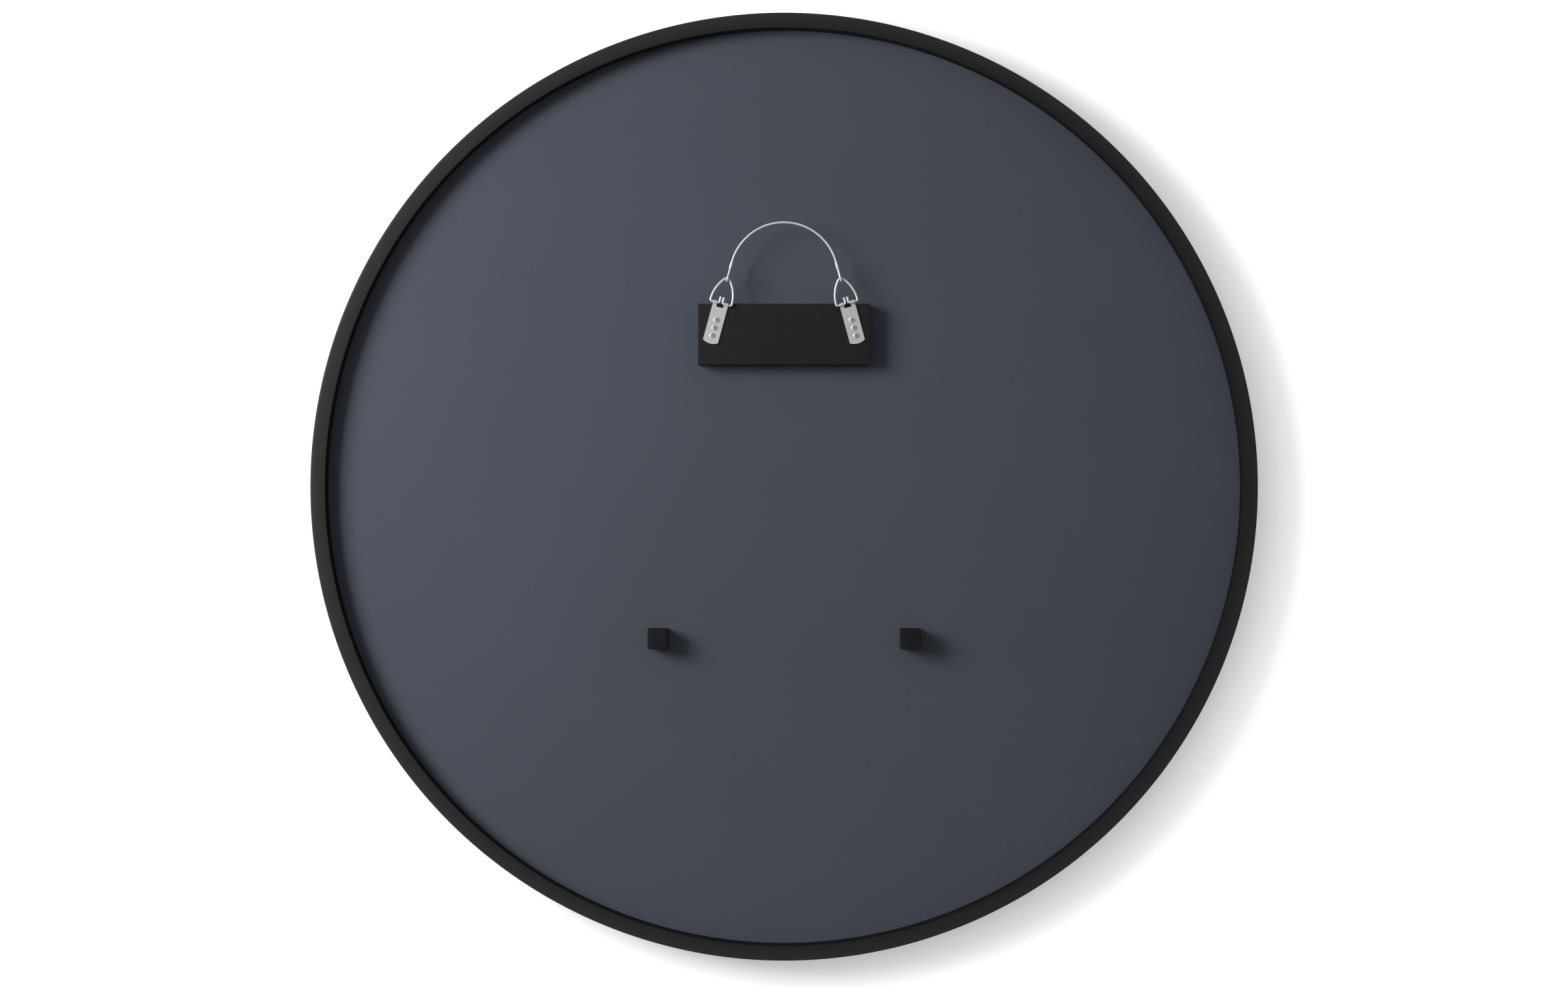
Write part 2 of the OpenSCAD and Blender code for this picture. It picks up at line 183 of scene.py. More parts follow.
def moveAlong(step, share):
    # 4x4 moves over each share of a step [run, turn, lift]: a straight of that length, or a bend of that
    # radius which turns in the plane or lifts out of it by that many degrees
    run, turn, lift = step
    move = np.tile(np.eye(4), (len(share), 1, 1))
    if not (turn or lift):
        move[:, 0, 3] = run * share
        return move
    a, axis = np.radians(turn or lift) * share, 1 if turn else 2
    move[:, 0, 0] = move[:, axis, axis] = np.cos(a)
    move[:, 0, axis], move[:, axis, 0] = -np.sin(a), np.sin(a)
    move[:, 0, 3] = run * np.sin(np.abs(a))
    move[:, axis, 3] = np.sign(a) * run * (1 - np.cos(a))
    return move


def bentWire(start, steps, spacing, widestTurn=7):
    # frames along the wire, each the last one moved on by a share of its step, with x along the wire.
    # Neighbours are at most the spacing and widestTurn degrees apart.
    frames, place = [start[None]], start
    for step in steps:
        angle = abs(step[1]) + abs(step[2])
        length = step[0] * math.radians(angle) if angle else step[0]
        count = max(1, math.ceil(length / spacing), math.ceil(angle / widestTurn))
        frames.append(place @ moveAlong(step, np.arange(1, count + 1) / count))
        place = frames[-1][-1]
    return np.concatenate(frames)


def tube(frames, radius, sides, chamfer):
    # rings of points about each frame: centre + y * r cos(a) + z * r sin(a), where r may change with the
    # length and the angle. Both ends are chamfered and close on a pole.
    along = lengthAlong(frames[:, :3, 3])
    inner = (along > chamfer) & (along < along[-1] - chamfer)
    step = np.eye(4)
    step[0, 3] = chamfer
    back = np.linalg.inv(step)
    first, last = frames[0], frames[-1]
    frames = np.concatenate([[first, first, first @ step], frames[inner], [last @ back, last, last]])
    along = np.concatenate([[0, 0, chamfer], along[inner], along[-1] - np.array([chamfer, 0, 0])])
    a = np.linspace(0, 2 * math.pi, sides, endpoint=False)
    r = radius(along[:, None], a[None, :]) * np.ones((len(along), sides))
    r[[0, -1]] = 0
    r[[1, -2]] -= chamfer
    centre, y, z = frames[:, None, :3, 3], frames[:, None, :3, 1], frames[:, None, :3, 2]
    points = centre + (y * (r * np.cos(a))[..., None] + z * (r * np.sin(a))[..., None])
    return outward(gridOf(points, np.linspace(0, 2 * math.pi * r.max(), sides + 1), along, closed=True))


def startAt(place, x, y, z, heading):
    # a frame at a point of a hanger's plane, with its x axis turned by heading degrees
    a = math.radians(heading)
    local = np.eye(4)
    local[:2, :2] = [[math.cos(a), -math.sin(a)], [math.sin(a), math.cos(a)]]
    local[:3, 3] = x, y, z
    return place @ local


def link(tree, start, end):
    tree.links.new(end, start)


def addNode(tree, kind, **values):
    # a node with its settings; a name that is an input's gets that input's value
    node = tree.nodes.new(kind)
    for name, value in values.items():
        if hasattr(node, name):
            setattr(node, name, value)
        else:
            node.inputs[name].default_value = value
    return node


def mathNode(tree, operation, a, b=None, clamp=False):
    # one step of arithmetic on sockets or plain numbers
    node = addNode(tree, "ShaderNodeMath", operation=operation, use_clamp=clamp)
    for socket, value in zip(node.inputs, (a, b)):
        if hasattr(value, "links"):
            link(tree, value, socket)
        elif value is not None:
            socket.default_value = value
    return node.outputs[0]


unit = (0.0, 1.0)


def remap(tree, value, given, wanted):
    # value moved from the given range to the wanted one and held inside it
    node = addNode(tree, "ShaderNodeMapRange", clamp=True)
    link(tree, value, node.inputs["Value"])
    for name, number in zip(("From Min", "From Max", "To Min", "To Max"), (*given, *wanted)):
        node.inputs[name].default_value = number
    return node.outputs[0]


def mixColours(tree, factor, a, b):
    # colour a where the factor is 0 and b where it is 1
    node = addNode(tree, "ShaderNodeMix", data_type="RGBA")
    for socket, value in ((node.inputs[0], factor), (node.inputs[6], a), (node.inputs[7], b)):
        if hasattr(value, "links"):
            link(tree, value, socket)
        else:
            socket.default_value = (*value[:3], 1)
    return node.outputs[2]


def newGroup(name, inputs, outputs):
    # an empty shader group with named sockets: (name, type, default value)
    group = bpy.data.node_groups.new(name, "ShaderNodeTree")
    for label, kind, value in inputs:
        socket = group.interface.new_socket(name=label, in_out="INPUT", socket_type="NodeSocket" + kind)
        if value is not None:
            socket.default_value = value
    for label, kind in outputs:
        group.interface.new_socket(name=label, in_out="OUTPUT", socket_type="NodeSocket" + kind)
    return group, group.nodes.new("NodeGroupInput").outputs, group.nodes.new("NodeGroupOutput").inputs


drift = dict(fineness=5.3, broadShare=0.7, fineShare=0.3, contrast=4.0)
# the part of each pattern's height that its mask is stretched over
patternRanges = dict(grain=(0.3, 0.7), streaks=(0.35, 0.65), ridges=(0.0, 0.6))


def makeToneDrift():
    # broad uneven tone: two noises of different scale move a colour between a dark and a light one
    group, given, result = newGroup("tone drift", (
        ("Vector", "Vector", None), ("Dark", "Color", None), ("Light", "Color", None),
        ("Scale", "Float", 6.0), ("Spread", "Float", 0.5)), (("Color", "Color"), ("Mask", "Float")))
    broad = addNode(group, "ShaderNodeTexNoise", Detail=2.0, Roughness=0.5)
    fine = addNode(group, "ShaderNodeTexNoise", Detail=4.0, Roughness=0.6)
    for noise, factor in ((broad, 1.0), (fine, drift["fineness"])):
        link(group, given["Vector"], noise.inputs["Vector"])
        link(group, mathNode(group, "MULTIPLY", given["Scale"], factor), noise.inputs["Scale"])
    both = mathNode(group, "ADD", mathNode(group, "MULTIPLY", broad.outputs[0], drift["broadShare"]),
                    mathNode(group, "MULTIPLY", fine.outputs[0], drift["fineShare"]))
    centred = mathNode(group, "MULTIPLY", mathNode(group, "SUBTRACT", both, 0.5), given["Spread"])
    mask = mathNode(group, "ADD", mathNode(group, "MULTIPLY", centred, drift["contrast"]), 0.5, clamp=True)
    link(group, mixColours(group, mask, given["Dark"], given["Light"]), result["Color"])
    link(group, mask, result["Mask"])
    return group


def makeGrain():
    # fine grain: a cell pattern softened by noise, as height and as a mask
    group, given, result = newGroup("fine grain", (
        ("Vector", "Vector", None), ("Scale", "Float", 900.0), ("Cells", "Float", 0.5)),
        (("Height", "Float"), ("Mask", "Float")))
    noise = addNode(group, "ShaderNodeTexNoise", Detail=3.0, Roughness=0.7)
    cells = addNode(group, "ShaderNodeTexVoronoi", feature="SMOOTH_F1")
    for texture in (noise, cells):
        link(group, given["Vector"], texture.inputs["Vector"])
        link(group, given["Scale"], texture.inputs["Scale"])
    share = mathNode(group, "MULTIPLY", cells.outputs["Distance"], given["Cells"])
    height = mathNode(group, "ADD", noise.outputs[0], share)
    link(group, height, result["Height"])
    link(group, remap(group, noise.outputs[0], patternRanges["grain"], unit), result["Mask"])
    return group


def makeDrawnMetal():
    # streaks that run one way: noise on coordinates squeezed across and stretched along
    group, given, result = newGroup("drawn metal", (
        ("Vector", "Vector", None), ("Across", "Float", 3000.0), ("Along", "Float", 60.0)),
        (("Height", "Float"), ("Mask", "Float")))
    parts = addNode(group, "ShaderNodeSeparateXYZ")
    link(group, given["Vector"], parts.inputs[0])
    squeezed = addNode(group, "ShaderNodeCombineXYZ")
    link(group, mathNode(group, "MULTIPLY", parts.outputs[0], given["Across"]), squeezed.inputs[0])
    link(group, mathNode(group, "MULTIPLY", parts.outputs[1], given["Along"]), squeezed.inputs[1])
    streaks = addNode(group, "ShaderNodeTexNoise", Scale=1.0, Detail=3.0, Roughness=0.6)
    link(group, squeezed.outputs[0], streaks.inputs["Vector"])
    link(group, streaks.outputs[0], result["Height"])
    link(group, remap(group, streaks.outputs[0], patternRanges["streaks"], unit), result["Mask"])
    return group


def makeTwistedStrands():
    # wires of a strand: sloping stripes on a tube's UV map, whose v runs along it and u round it.
    # Height = |sin(pi * (u * lean + v) / pitch)|
    group, given, result = newGroup("twisted strands", (
        ("Vector", "Vector", None), ("Pitch", "Float", 0.0012), ("Lean", "Float", 0.35)),
        (("Height", "Float"), ("Mask", "Float")))
    parts = addNode(group, "ShaderNodeSeparateXYZ")
    link(group, given["Vector"], parts.inputs[0])
    leaning = mathNode(group, "MULTIPLY", parts.outputs[0], given["Lean"])
    slanted = mathNode(group, "ADD", leaning, parts.outputs[1])
    turns = mathNode(group, "MULTIPLY", mathNode(group, "DIVIDE", slanted, given["Pitch"]), math.pi)
    ridge = mathNode(group, "ABSOLUTE", mathNode(group, "SINE", turns))
    link(group, ridge, result["Height"])
    link(group, remap(group, ridge, patternRanges["ridges"], unit), result["Mask"])
    return group


toneDrift, grain = makeToneDrift(), makeGrain()
drawnMetal, twistedStrands = makeDrawnMetal(), makeTwistedStrands()
print("shader groups made")


def useGroup(tree, group, vector, **values):
    # a group node that reads the given coordinates
    node = tree.nodes.new("ShaderNodeGroup")
    node.node_tree = group
    link(tree, vector, node.inputs["Vector"])
    for name, value in values.items():
        node.inputs[name].default_value = value if isinstance(value, float) else (*value, 1)
    return node


def newMaterial(name, **values):
    # a material with its Principled shader set, and its object and UV coordinates
    material = bpy.data.materials.new(name)
    material.use_nodes = True
    tree = material.node_tree
    shader = tree.nodes["Principled BSDF"]
    for label, value in values.items():
        shader.inputs[label.replace("_", " ")].default_value = value
    coordinates = addNode(tree, "ShaderNodeTexCoord")
    return material, tree, shader, coordinates.outputs["Object"], coordinates.outputs["UV"]


def addTone(tree, look, place):
    # the tone drift between a finish's dark and light colour
    return useGroup(tree, toneDrift, place, Dark=look["dark"], Light=look["light"], Scale=look["driftScale"],
                    Spread=look["driftSpread"])


def addBump(tree, shader, height, depth):
    # bump of that depth in metres
    bump = addNode(tree, "ShaderNodeBump", Distance=depth)
    link(tree, height, bump.inputs["Height"])
    link(tree, bump.outputs[0], shader.inputs["Normal"])


# dark and light are the ends of the tone drift, rough is the range of roughness, scales are per metre and
# bump is a depth in metres
paints = {
    "slatePaint": dict(name="slate paint", dark=(0.063, 0.0713, 0.0914), light=(0.070, 0.0793, 0.1018),
                       rough=(0.5, 0.62), driftScale=3.0, driftSpread=0.5, grainScale=420.0, cells=0.5,
                       bump=0.00006, specular=0.12),
    "blackPaint": dict(name="black paint", dark=(0.0115, 0.0115, 0.0115), light=(0.0145, 0.0145, 0.0143),
                       rough=(0.48, 0.58), driftScale=9.0, driftSpread=0.6, grainScale=600.0, cells=0.5,
                       bump=0.00005, specular=0.14),
    "bumperRubber": dict(name="bumper rubber", dark=(0.005, 0.005, 0.0055), light=(0.007, 0.007, 0.0075),
                         rough=(0.5, 0.65), driftScale=40.0, driftSpread=0.6, grainScale=1500.0, cells=0.5,
                         bump=0.00004, specular=0.15),
    "foam": dict(name="tape foam", dark=(0.018, 0.018, 0.018), light=(0.03, 0.03, 0.03), rough=(0.8, 0.95),
                 driftScale=60.0, driftSpread=0.8, grainScale=1800.0, cells=1.5, bump=0.0002, specular=0.5),
}
# across and along are how often the drawn streaks repeat in a metre, and a screw finish's last value is the
# strength of a painted shade in marked hollows
metals = {
    "zincSteel": dict(name="zinc steel", dark=(0.56, 0.56, 0.55), light=(0.61, 0.61, 0.6),
                      rough=(0.46, 0.54), metallic=0.5, across=5000.0, along=500.0, bump=0.000004),
    "screwSteel": dict(name="screw steel", dark=(0.53, 0.53, 0.52), light=(0.59, 0.59, 0.58),
                       rough=(0.42, 0.5), metallic=0.4, across=900.0, along=2500.0, bump=0.000004,
                       recessShadeStrength=0.55),
    "brightWire": dict(name="bright wire", dark=(0.63, 0.63, 0.62), light=(0.69, 0.69, 0.68),
                       rough=(0.4, 0.48), metallic=0.55, across=6000.0, along=120.0, bump=0.000004),
    "ferruleAluminium": dict(name="ferrule aluminium", dark=(0.64, 0.64, 0.64), light=(0.7, 0.7, 0.7),
                             rough=(0.38, 0.48), metallic=0.6, across=4000.0, along=300.0, bump=0.00001),
}
metalDrift = dict(driftScale=60.0, driftSpread=0.8)
# a painted shade for the screws' cross recesses: the range of the mark and the dark colour
paintedRecessShade = dict(marks=(0.0, 0.3), colour=(0.05, 0.05, 0.05))


def makePaint(look):
    # paint, rubber or foam: drifting tone, and grain that moves the roughness and the bump
    material, tree, shader, place, _ = newMaterial(look["name"], Specular_IOR_Level=look["specular"])
    tone = addTone(tree, look, place)
    fine = useGroup(tree, grain, place, Scale=look["grainScale"], Cells=look["cells"])
    link(tree, tone.outputs["Color"], shader.inputs["Base Color"])
    link(tree, remap(tree, fine.outputs["Mask"], unit, look["rough"]), shader.inputs["Roughness"])
    addBump(tree, shader, fine.outputs["Height"], look["bump"])
    return material


def makeMetal(look):
    # plated metal: drifting tone, and drawn streaks that move the roughness and the bump. Hollows marked on
    # the piece get a painted shade, darker by its given strength.
    material, tree, shader, place, surface = newMaterial(look["name"], Metallic=look["metallic"])
    tone = addTone(tree, {**look, **metalDrift}, place)
    streaks = useGroup(tree, drawnMetal, surface, Across=look["across"], Along=look["along"])
    colour = tone.outputs["Color"]
    if "recessShadeStrength" in look:
        # painted shade in the marked recesses
        recessShadeMask = addNode(tree, "ShaderNodeAttribute", attribute_name="recessShadeMask")
        recessShadeAmount = remap(tree, recessShadeMask.outputs["Fac"], paintedRecessShade["marks"], (0.0, look["recessShadeStrength"]))
        colour = mixColours(tree, recessShadeAmount, colour, paintedRecessShade["colour"])
    link(tree, colour, shader.inputs["Base Color"])
    link(tree, remap(tree, streaks.outputs["Mask"], unit, look["rough"]), shader.inputs["Roughness"])
    addBump(tree, shader, streaks.outputs["Height"], look["bump"])
    return material


cableLook = dict(dark=(0.64, 0.64, 0.63), light=(0.7, 0.7, 0.69), driftScale=90.0, driftSpread=0.8,
                 metallic=0.35, pitch=0.0005, lean=0.9, gapShade=0.15, gapShadeColour=(0.25, 0.25, 0.25),
                 rough=(0.6, 0.46), bump=0.00001)


def makeCableSteel():
    # galvanised strands whose gaps between the wires are rougher and get a painted shade, darker
    look = cableLook
    material, tree, shader, place, surface = newMaterial("cable steel", Metallic=look["metallic"])
    tone = addTone(tree, look, place)
    wires = useGroup(tree, twistedStrands, surface, Pitch=look["pitch"], Lean=look["lean"])
    # painted shade in the gaps between the wires
    paintedGapShade = remap(tree, wires.outputs["Mask"], unit, (look["gapShade"], 0.0))
    link(tree, mixColours(tree, paintedGapShade, tone.outputs["Color"], look["gapShadeColour"]), shader.inputs["Base Color"])
    link(tree, remap(tree, wires.outputs["Mask"], unit, look["rough"]), shader.inputs["Roughness"])
    addBump(tree, shader, wires.outputs["Height"], look["bump"])
    return material


glassLook = dict(dark=(0.88, 0.9, 0.9), light=(0.92, 0.94, 0.94), driftScale=1.5, driftSpread=0.5,
                 rough=(0.015, 0.03))


def makeSilveredGlass():
    # a clean mirror with the faintest smears in its gloss
    material, tree, shader, place, _ = newMaterial("silvered glass", Metallic=1.0)
    tone = addTone(tree, glassLook, place)
    link(tree, tone.outputs["Color"], shader.inputs["Base Color"])
    link(tree, remap(tree, tone.outputs["Mask"], unit, glassLook["rough"]), shader.inputs["Roughness"])
    return material


rim = dict(faceWidth=13.8, channelIn=8.7, discFit=0.5, lipOver=9.0, backCorner=1.6, frontCorner=3.5,
           cornerSteps=8, lipEdge=1.4, wallEdge=0.35, wallFoot=0.3, faceInset=(2, 1), faceRows=5,
           segments=360)  # the flat face's rows stop short of its two edges by faceInset
# the outer-edge colour is a painted sheen: the face gets lighter towards the rim's outer edge
rimLook = dict(dark=(0.0125, 0.0125, 0.0129), light=(0.0153, 0.0153, 0.0153), outer=(0.026, 0.026, 0.0262),
               # the wall colour is a painted shade on the inner wall above the board, and the two fades set
               # where it fades out
               wall=(0.005, 0.005, 0.0052), driftScale=5.0, driftSpread=0.6, grainScale=1400.0, cells=0.4,
               rough=(0.42, 0.56), bump=0.00006, specular=0.13, wallShadeFade=(0.15, 0.4), footShadeFade=0.5)
rimOpening = rimRadius - rim["faceWidth"]


def makeRimRubber():
    # moulded black rubber: fine matt grain. A painted sheen makes it a little greyer towards the outer edge,
    # and a painted shade makes it darkest on the inner wall above the board, by the distance from the
    # mirror's middle axis and the depth.
    look = rimLook
    material, tree, shader, place, _ = newMaterial("rim rubber", Specular_IOR_Level=look["specular"])
    tone = addTone(tree, look, place)
    fine = useGroup(tree, grain, place, Scale=look["grainScale"], Cells=look["cells"])
    flat = addNode(tree, "ShaderNodeVectorMath", operation="MULTIPLY")
    flat.inputs[1].default_value = (1, 0, 1)
    link(tree, place, flat.inputs[0])
    away = addNode(tree, "ShaderNodeVectorMath", operation="DISTANCE")
    link(tree, flat.outputs[0], away.inputs[0])
    away.inputs[1].default_value = (centreX / 1000, 0, centreZ / 1000)
    # painted sheen: lighter from the opening out to the rim's outer edge
    outer = remap(tree, away.outputs["Value"], (rimOpening / 1000, rimRadius / 1000), unit)
    colour = mixColours(tree, outer, tone.outputs["Color"], look["outer"])
    depth = addNode(tree, "ShaderNodeSeparateXYZ")
    link(tree, place, depth.inputs[0])
    # painted shade on the inner wall, near the opening and above the board
    edge = [(rimOpening + fade) / 1000 for fade in look["wallShadeFade"]]
    inside = remap(tree, away.outputs["Value"], edge, (1.0, 0.0))
    wallShadeFoot = ((boardBack - look["footShadeFade"]) / 1000, boardBack / 1000)
    wall = mathNode(tree, "MULTIPLY", inside, remap(tree, depth.outputs[1], wallShadeFoot, unit))
    link(tree, mixColours(tree, wall, colour, look["wall"]), shader.inputs["Base Color"])
    link(tree, remap(tree, fine.outputs["Mask"], unit, look["rough"]), shader.inputs["Roughness"])
    addBump(tree, shader, fine.outputs["Height"], look["bump"])
    return material


finishes = {name: makePaint(look) for name, look in paints.items()}
finishes.update({name: makeMetal(look) for name, look in metals.items()})
finishes.update(rimRubber=makeRimRubber(), cableSteel=makeCableSteel(), silveredGlass=makeSilveredGlass())
print("materials made:", len(finishes))


def rimProfile():
    # (radius, depth) points once round the section: rounded corners joined by straights
    back, front = rimHigh[1], rimLow[1]
    channel = rimRadius - rim["channelIn"]
    lip = channel - rim["discFit"] - rim["lipOver"]
    wall, corner, bulge, edge = rim["wallEdge"], rim["backCorner"], rim["frontCorner"], rim["lipEdge"]
    outside, inside = rim["faceInset"]
    face = np.linspace(rimRadius - corner - outside, rimOpening + wall + inside, rim["faceRows"])
    return np.concatenate([
        arc(rimRadius - bulge, front + bulge, bulge, -90, 0, rim["cornerSteps"]),
        arc(rimRadius - corner, back - corner, corner, 0, 90, rim["cornerSteps"]),
        np.stack([face, np.full(len(face), back)], 1),
        arc(rimOpening + wall, back - wall, wall, 90, 180),
        [[rimOpening, boardBack + rim["wallFoot"]], [rimOpening + rim["wallFoot"], boardBack],
         [channel, boardBack], [channel, glassFront]],
        arc(lip + edge, glassFront - edge, edge, 90, 180),
        arc(lip + edge, front + edge, edge, 180, 270),
    ])


def makeRim():
    # the section turned once about the mirror's middle: (r cos a, depth, r sin a)
    profile = rimProfile()
    profile = np.concatenate([profile, profile[:1]])
    a = np.linspace(0, 2 * math.pi, rim["segments"], endpoint=False)
    points = np.stack([centreX + profile[:, :1] * np.cos(a), profile[:, 1:] + 0 * a,
                       centreZ + profile[:, :1] * np.sin(a)], 2)
    around = np.linspace(0, 2 * math.pi * rimRadius, rim["segments"] + 1)
    grid = outward(gridOf(points, around, lengthAlong(profile), closed=True))
    addPiece("rimRing", grid, finishes["rimRubber"], "mirror", ["rubber_rim"])


makeRim()
print("rim made")


def roundedBox(low, high, radius, steps):
    # a box whose corners are eighths of a sphere: each point of a split cube's surface gives a direction,
    # and the box point is the nearest inner corner plus the radius along that direction
    edge = np.tan(np.linspace(-1, 0, steps + 1) * math.pi / 4)
    line = np.concatenate([edge, -edge[::-1]])
    side = np.concatenate([-np.ones(steps + 1), np.ones(steps + 1)])
    s, t = np.meshgrid(line, line, indexing="ij")
    sSide, tSide = np.meshgrid(side, side, indexing="ij")
    middle, inner = (low + high) / 2, (high - low) / 2 - radius
    grids = []
    for axis in range(3):
        for way in (-1, 1):
            cube = np.roll(np.stack([np.full_like(s, way), s, t], 2), axis, axis=2)
            corner = np.roll(np.stack([np.full_like(s, way), sSide, tSide], 2), axis, axis=2)
            direction = cube / np.linalg.norm(cube, axis=2, keepdims=True)
            points = middle + corner * inner + direction * radius
            across, up = (axis + 1) % 3, (axis + 2) % 3
            places, quads, spots = gridOf(points, points[0, :, up], points[:, 0, across])
            facing = np.cross(points[0, 1] - points[0, 0], points[1, 0] - points[0, 0])[axis]
            turned = slice(None) if facing * way > 0 else slice(None, None, -1)
            grids.append((places, quads[:, turned], spots[:, turned]))
    return joined(grids)


block = dict(edge=0.55, steps=4)
bumper = dict(edge=0.6, steps=4)


def makeBox(name, node, setting, finish):
    # a CAD box with its edges rounded
    grid = roundedBox(*nodeBox(node), setting["edge"], setting["steps"])
    addPiece(name, grid, finishes[finish], "mirror", [node])


makeBox("blockBody", "hanging_block", block, "blackPaint")
for side in hangers:
    makeBox("bumper" + side.capitalize(), "bumper_" + side, bumper, "bumperRubber")
print("block and bumpers made")


# thinning is a range of shares of the neck's length, and neck is a range of heights from the knuckle axis
strap = dict(width=14.0, thickness=0.9, length=35.7, endRadius=13.5, slotWidth=6.4, slotDrop=3.8, curl=292.0,
             boreRadius=1.05, tabThickness=0.5, thinning=(0.1, 0.8), neck=(-3.7, -0.3), edge=0.12,
             bevelSteps=2, bevelAngle=50, tabColumns=5, slotColumns=7, plateRows=19, neckRows=7, curlRows=37)
plateLevel = strap["boreRadius"] + strap["thickness"] / 2  # from the knuckle axis to the middle of the plate
curlRadius = strap["boreRadius"] + strap["tabThickness"] / 2  # and to the middle of a curled tab


def strapGrid(place):
    # the middle surface of the metal: a plate whose rows run from the slot down to the curved end, and two
    # tabs whose rows run up to the knuckle axis and then round it at the curl's radius
    half, slot, drop, end = strap["width"] / 2, strap["slotWidth"] / 2, strap["slotDrop"], strap["endRadius"]
    tabColumns = np.linspace(slot, half, strap["tabColumns"])
    slotColumns = np.linspace(-slot, slot, strap["slotColumns"])[1:-1]
    columns = np.concatenate([-tabColumns[::-1], slotColumns, tabColumns])
    sag = end - np.sqrt(end ** 2 - half ** 2)
    reach = strap["length"] + sag - end + np.sqrt(end ** 2 - columns ** 2)
    share = np.linspace(0, 1, strap["plateRows"])[:, None]
    down = -drop - (reach - drop) * share
    plate = np.stack([columns + 0 * share, down, np.full(down.shape, -plateLevel)], 2)
    turn = np.radians(np.linspace(0, strap["curl"], strap["curlRows"]))
    thin = smoothStep(np.linspace(0, 1, strap["neckRows"])[:-1], *strap["thinning"])
    up = np.concatenate([np.linspace(-drop, 0, strap["neckRows"])[:-1], curlRadius * np.sin(turn)])
    level = np.concatenate([-plateLevel + (plateLevel - curlRadius) * thin, -curlRadius * np.cos(turn)])
    along = lengthAlong(np.stack([up, level], 1))
    grids = [gridOf(plate, columns, down[:, len(columns) // 2])]
    for tab in (tabColumns, -tabColumns[::-1]):
        path = np.stack([tab + 0 * up[:, None], up[:, None] + 0 * tab, level[:, None] + 0 * tab], 2)
        points, quads, spots = gridOf(path, tab, along - drop)
        grids.append((points, quads[:, ::-1], spots[:, ::-1]))
    points, quads, spots = joined(grids)
    return placed(place, points), quads, spots


def thinTabs(piece, place):
    # a vertex group that is 1 on the plate and 0 on the curls. In the neck it falls as the middle surface
    # comes nearer to the axis, so that the tabs' outer face stays level.
    corners = np.empty(len(piece.data.vertices) * 3)
    piece.data.vertices.foreach_get("co", corners)
    up, level = ((corners.reshape(-1, 3) * 1000 - place[:3, 3]) @ place[:3, 1:3]).T
    low, high = strap["neck"]
    thinness = (level + plateLevel) / (plateLevel - curlRadius)
    thinness = np.where(up < low, 0, np.where(up > high, 1, thinness))
    thinness = np.round(np.clip(thinness, 0, 1), 3)
    group = piece.vertex_groups.new(name="full")
    for value in np.unique(thinness):
        group.add(np.flatnonzero(thinness == value).tolist(), float(1 - value), "REPLACE")


def makeStrap(side):
    # the middle surface thickened both ways, thinner in the tabs, with its edges bevelled
    piece = addPiece("strap" + side.capitalize(), strapGrid(hangers[side]), finishes["zincSteel"], "mirror",
                     ["strap_" + side], sharp=60)
    thinTabs(piece, hangers[side])
    shell = piece.modifiers.new("thickness", "SOLIDIFY")
    shell.thickness, shell.offset = strap["thickness"] / 1000, 0
    shell.vertex_group, shell.thickness_vertex_group = "full", strap["tabThickness"] / strap["thickness"]
    edges = piece.modifiers.new("edges", "BEVEL")
    edges.width, edges.segments, edges.limit_method = strap["edge"] / 1000, strap["bevelSteps"], "ANGLE"
    edges.angle_limit, edges.harden_normals = math.radians(strap["bevelAngle"]), True


# first is the first screw's distance below the knuckle axis, and turns are how far each cross is turned
screw = dict(headRadius=2.4, headHeight=1.5, dome=3.2, edge=0.25, edgeStart=60, edgeSteps=4, shank=1.3,
             neck=0.4, length=10.0, tip=2.0, tipRadius=0.4, first=15.6, pitch=7.3, count=3,
             crossLength=1.65, crossEnd=0.3, crossWidth=0.43, crossSoft=0.09, crossDepth=0.95,
             crossRise=0.35, riseOver=(0.3, 1.4), thread=0.28, threadPitch=1.2, threadStart=(0.6, 1.6),
             threadEnd=0.8, crest=(0.25, 0.9), core=0.3, turns={"left": (-5, 0, -7), "right": (-11, -9, -8)})
screwRows = dict(cross=(0, 1.75, 36), rimStart=1.8, rim=6, shank=90, tip=12, columns=96)


def screwProfile():
    # (radius, height) points down the head's dome, its shoulder, the shank and the tip, and how many of them
    # are on the dome: its height is that of a sphere of the dome's radius
    r0, edge, dome, shank = screw["headRadius"], screw["edge"], screw["dome"], screw["shank"]
    bottom = -screw["length"]
    tipTop = screw["tip"] + bottom
    inner = np.concatenate([np.linspace(*screwRows["cross"]),
                            np.linspace(screwRows["rimStart"], r0 - edge, screwRows["rim"])])
    top = np.stack([inner, screw["headHeight"] - dome + np.sqrt(dome ** 2 - inner ** 2)], 1)
    shoulder = arc(r0 - edge, top[-1, 1] - edge, edge, screw["edgeStart"], 0, screw["edgeSteps"])
    down = np.linspace(-screw["neck"], tipTop, screwRows["shank"])
    taper = np.linspace([shank, tipTop], [screw["tipRadius"], bottom], screwRows["tip"])[1:]
    straight = np.stack([np.full(len(down), shank), down], 1)
    return np.concatenate([top, shoulder, [[r0, 0], [shank, 0]], straight, taper, [[0, bottom]]]), len(top)


